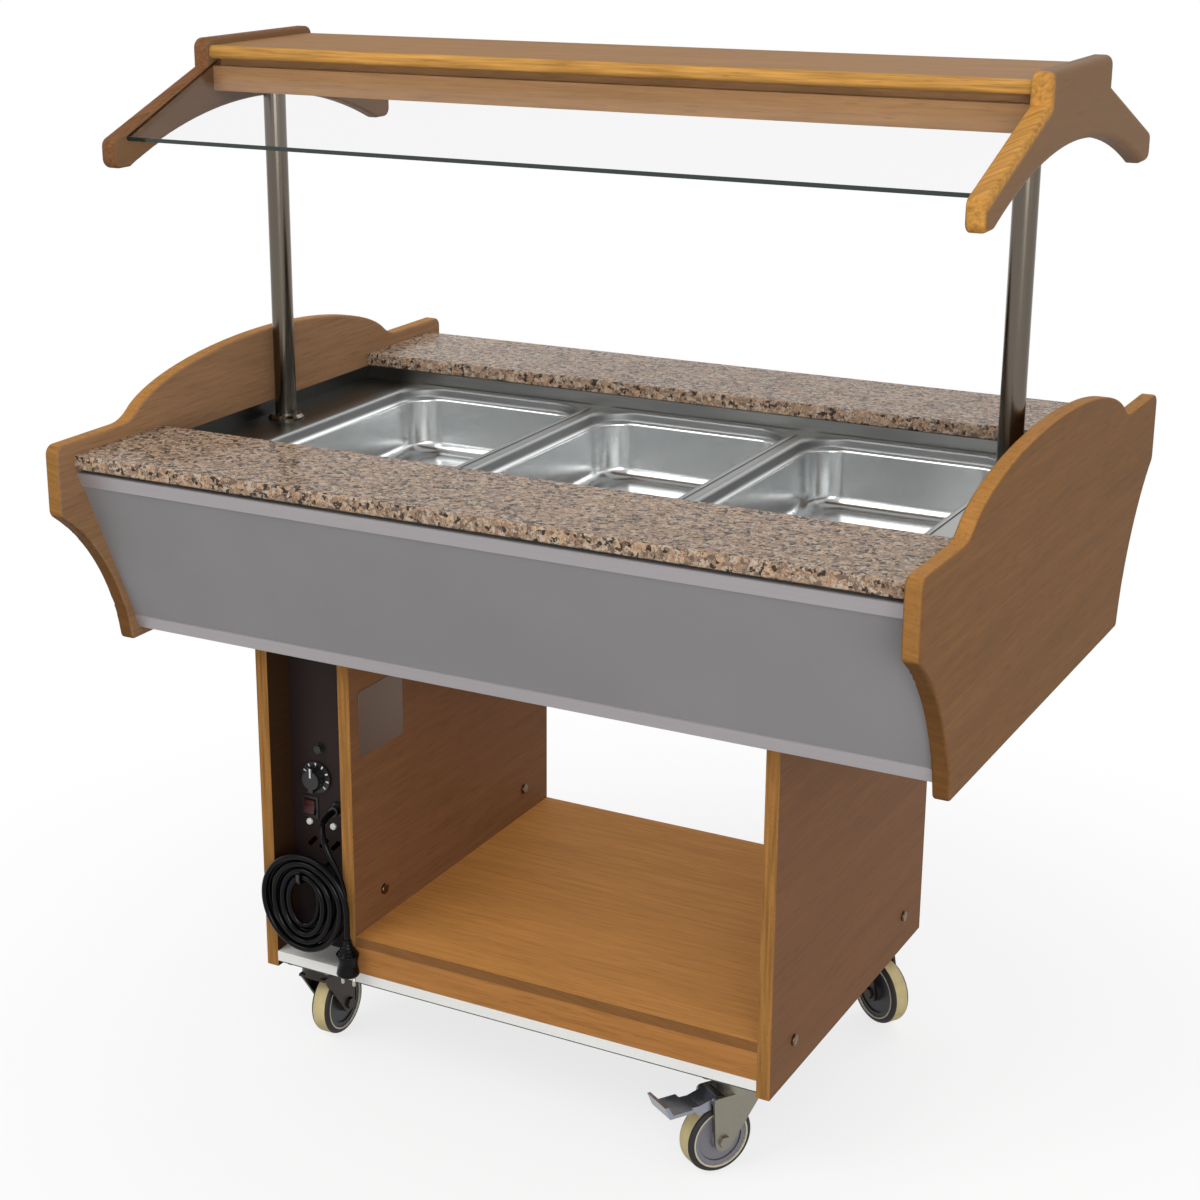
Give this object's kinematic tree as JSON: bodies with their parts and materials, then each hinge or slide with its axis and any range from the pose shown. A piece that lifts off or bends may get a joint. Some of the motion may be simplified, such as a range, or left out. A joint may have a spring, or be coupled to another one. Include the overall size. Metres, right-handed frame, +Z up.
{
  "type": "hot buffet counter",
  "caption": "Free-standing heated buffet counter on braked casters: oak case, granite shelves, stainless well with lift-out pans and a canopy with sneeze glass.",
  "frame": {"origin": "on the floor under the middle of the counter", "axes": "+Z up, +X to the right, front towards -Y"},
  "size_m": [1.224, 0.99, 1.452],
  "materials": {
    "oak_laminate": "oak-grain laminate on board, satin",
    "granite": "speckled pink-beige, polished top",
    "white_board": "white melamine board",
    "grey_laminate": "plain grey laminate, matt",
    "satin_aluminium": "satin strip",
    "brushed_stainless": "brushed sheet",
    "pressed_stainless": "pressed and lightly polished sheet",
    "dark_steel": "dark, slightly glossy",
    "polished_steel": "mirror-polished tube",
    "black_plate": "near-black, satin",
    "black_plastic": "black, satin",
    "lamp_lens": "white lens",
    "clear_glass": "clear float glass",
    "zinc_steel": "dull zinc-grey pressing",
    "grey_plastic": "grey moulded disc",
    "tread_rubber": "cream-grey tread",
    "cord_rubber": "black cord and plug"
  },
  "bodies": {
    "counter": {"end_panel_left": "oak_laminate", "end_panel_right": "oak_laminate", "granite_shelf_front": "granite", "granite_shelf_rear": "granite", "granite_bearers": "white_board", "counter_floor": "white_board", "front_panel": "grey_laminate", "rear_panel": "grey_laminate", "panel_trims": "satin_aluminium", "well": "brushed_stainless", "divider_bars": "brushed_stainless", "heating_element": "dark_steel", "element_terminal_box": "brushed_stainless", "base_panel_left": "oak_laminate", "base_panel_inner": "oak_laminate", "base_panel_right": "oak_laminate", "base_floor": "white_board", "storage_shelf": "oak_laminate", "plinth_boards": "oak_laminate", "panel_bolts": "dark_steel", "control_plate": "black_plate", "compartment_rear_panel": "oak_laminate", "thermostat_body": "black_plastic", "limiter_cap": "black_plastic", "switch_housing": "black_plastic", "pilot_lamps": "lamp_lens", "cable_gland": "black_plastic", "cord_hook": "dark_steel", "posts": "polished_steel", "post_flanges": "polished_steel", "post_head_plates": "polished_steel", "canopy_top": "oak_laminate", "canopy_rail": "oak_laminate", "canopy_cheek_left": "oak_laminate", "canopy_cheek_right": "oak_laminate", "sneeze_glass": "clear_glass", "caster_plates": "zinc_steel", "cord_lead": "cord_rubber", "cord_coil": "cord_rubber", "cord_tail": "cord_rubber", "mains_plug": "cord_rubber"},
    "pan_left": {"pan_left": "pressed_stainless"},
    "pan_middle": {"pan_middle": "pressed_stainless"},
    "pan_right": {"pan_right": "pressed_stainless"},
    "knob": {"thermostat_knob": "black_plastic"},
    "rocker": {"switch_rocker": "black_plastic"},
    "swivel_front_left": {"caster_fork_front_left": "zinc_steel"},
    "wheel_front_left": {"wheel_hub_front_left": "grey_plastic", "tyre_front_left": "tread_rubber"},
    "pedal_front_left": {"brake_pedal_front_left": "zinc_steel"},
    "swivel_front_right": {"caster_fork_front_right": "zinc_steel"},
    "wheel_front_right": {"wheel_hub_front_right": "grey_plastic", "tyre_front_right": "tread_rubber"},
    "pedal_front_right": {"brake_pedal_front_right": "zinc_steel"},
    "swivel_rear_left": {"caster_fork_rear_left": "zinc_steel"},
    "wheel_rear_left": {"wheel_hub_rear_left": "grey_plastic", "tyre_rear_left": "tread_rubber"},
    "swivel_rear_right": {"caster_fork_rear_right": "zinc_steel"},
    "wheel_rear_right": {"wheel_hub_rear_right": "grey_plastic", "tyre_rear_right": "tread_rubber"}
  },
  "joints": [
    {"name": "pan_left_lift", "type": "slide", "parent": "counter", "child": "pan_left", "axis": [0, 0, 1], "range_m": [0, 0.13]},
    {"name": "pan_middle_lift", "type": "slide", "parent": "counter", "child": "pan_middle", "axis": [0, 0, 1], "range_m": [0, 0.13]},
    {"name": "pan_right_lift", "type": "slide", "parent": "counter", "child": "pan_right", "axis": [0, 0, 1], "range_m": [0, 0.13]},
    {"name": "knob_turn", "type": "hinge", "parent": "counter", "child": "knob", "pos_m": [-0.3665, -0.237, 0.424], "axis": [0, 1, 0], "range_deg": [0, 270]},
    {"name": "rocker_tip", "type": "hinge", "parent": "counter", "child": "rocker", "pos_m": [-0.3795, -0.236, 0.375], "axis": [1, 0, 0], "range_deg": [0, 16]},
    {"name": "swivel_front_left_turn", "type": "hinge", "parent": "counter", "child": "swivel_front_left", "pos_m": [-0.366, -0.24, 0.126], "axis": [0, 0, 1], "continuous": true},
    {"name": "wheel_front_left_roll", "type": "hinge", "parent": "swivel_front_left", "child": "wheel_front_left", "pos_m": [-0.366, -0.204, 0.05], "axis": [-1, 0, 0], "continuous": true},
    {"name": "pedal_front_left_press", "type": "hinge", "parent": "swivel_front_left", "child": "pedal_front_left", "pos_m": [-0.366, -0.194, 0.11], "axis": [-1, 0, 0], "range_deg": [0, 12]},
    {"name": "swivel_front_right_turn", "type": "hinge", "parent": "counter", "child": "swivel_front_right", "pos_m": [0.306, -0.24, 0.126], "axis": [0, 0, 1], "continuous": true},
    {"name": "wheel_front_right_roll", "type": "hinge", "parent": "swivel_front_right", "child": "wheel_front_right", "pos_m": [0.28655, -0.27029, 0.05], "axis": [0.8415, -0.5402, 0], "continuous": true},
    {"name": "pedal_front_right_press", "type": "hinge", "parent": "swivel_front_right", "child": "pedal_front_right", "pos_m": [0.28115, -0.27871, 0.11], "axis": [0.8415, -0.5402, 0], "range_deg": [0, 12]},
    {"name": "swivel_rear_left_turn", "type": "hinge", "parent": "counter", "child": "swivel_rear_left", "pos_m": [-0.366, 0.24, 0.126], "axis": [0, 0, 1], "continuous": true},
    {"name": "wheel_rear_left_roll", "type": "hinge", "parent": "swivel_rear_left", "child": "wheel_rear_left", "pos_m": [-0.38761, 0.26879, 0.05], "axis": [-0.7997, -0.6004, 0], "continuous": true},
    {"name": "swivel_rear_right_turn", "type": "hinge", "parent": "counter", "child": "swivel_rear_right", "pos_m": [0.306, 0.24, 0.126], "axis": [0, 0, 1], "continuous": true},
    {"name": "wheel_rear_right_roll", "type": "hinge", "parent": "swivel_rear_right", "child": "wheel_rear_right", "pos_m": [0.33718, 0.222, 0.05], "axis": [0.5, 0.866, 0], "continuous": true}
  ]
}
